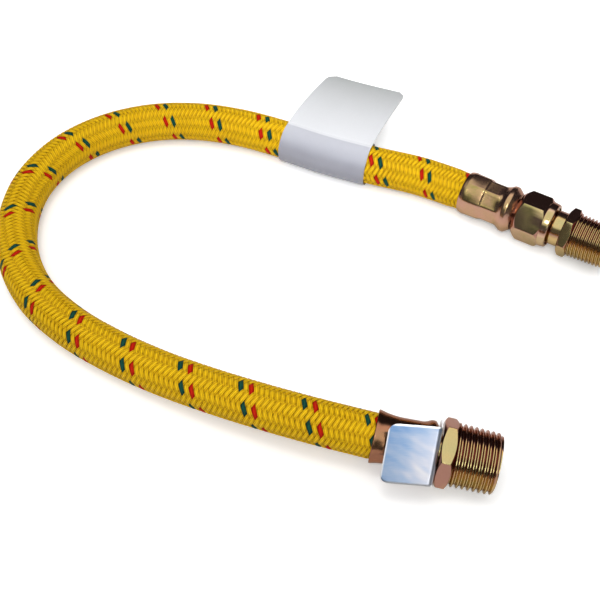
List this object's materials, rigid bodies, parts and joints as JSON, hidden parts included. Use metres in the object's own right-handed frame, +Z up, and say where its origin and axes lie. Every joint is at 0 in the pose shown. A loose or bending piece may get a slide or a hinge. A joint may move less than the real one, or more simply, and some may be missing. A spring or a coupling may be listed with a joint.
{
  "type": "braided hose assembly",
  "caption": "Flexible hose with a yellow textile braid, crimped ferrules, a male pipe nipple at one end and a swivel nut with a male pipe adapter at the other.",
  "frame": {"origin": "on the floor under the middle of the box round the two end fittings", "axes": "+Z up, +X the way the pipe nipple points seen from above, +Y from the nipple towards the swivel end"},
  "size_m": [0.2365, 0.1726, 0.0266],
  "materials": {
    "braid": "24-carrier textile braid, yellow with one red and one green tracer",
    "liner_rubber": "matt black",
    "zinc_plated_steel": "turned steel, yellow zinc plated, iridescent",
    "tag_metal": "finely brushed bright sheet",
    "label_paper": "coated white paper, blank"
  },
  "bodies": {
    "root": {"inner_tube": "liner_rubber", "braid_cover": "braid", "near_ferrule": "zinc_plated_steel", "pipe_nipple": "zinc_plated_steel", "id_tag": "tag_metal", "far_ferrule": "zinc_plated_steel", "swivel_stem": "zinc_plated_steel", "paper_label": "label_paper"},
    "nut": {"swivel_nut": "zinc_plated_steel"},
    "adapter": {"pipe_adapter": "zinc_plated_steel"}
  },
  "joints": [
    {"name": "nut_spin", "type": "hinge", "parent": "root", "child": "nut", "pos_m": [0.00643, 0.05439, 0.00969], "axis": [-0.9477, 0.3171, -0.0349], "range_deg": [0, 1200]},
    {"name": "adapter_slide", "type": "slide", "parent": "root", "child": "adapter", "axis": [0.9477, -0.3171, 0.0349], "range_m": [0, 0.0056]}
  ],
  "couplings": [
    {"joint": "adapter_slide", "follows": "nut_spin", "m_per_rad": 0.00022457}
  ]
}
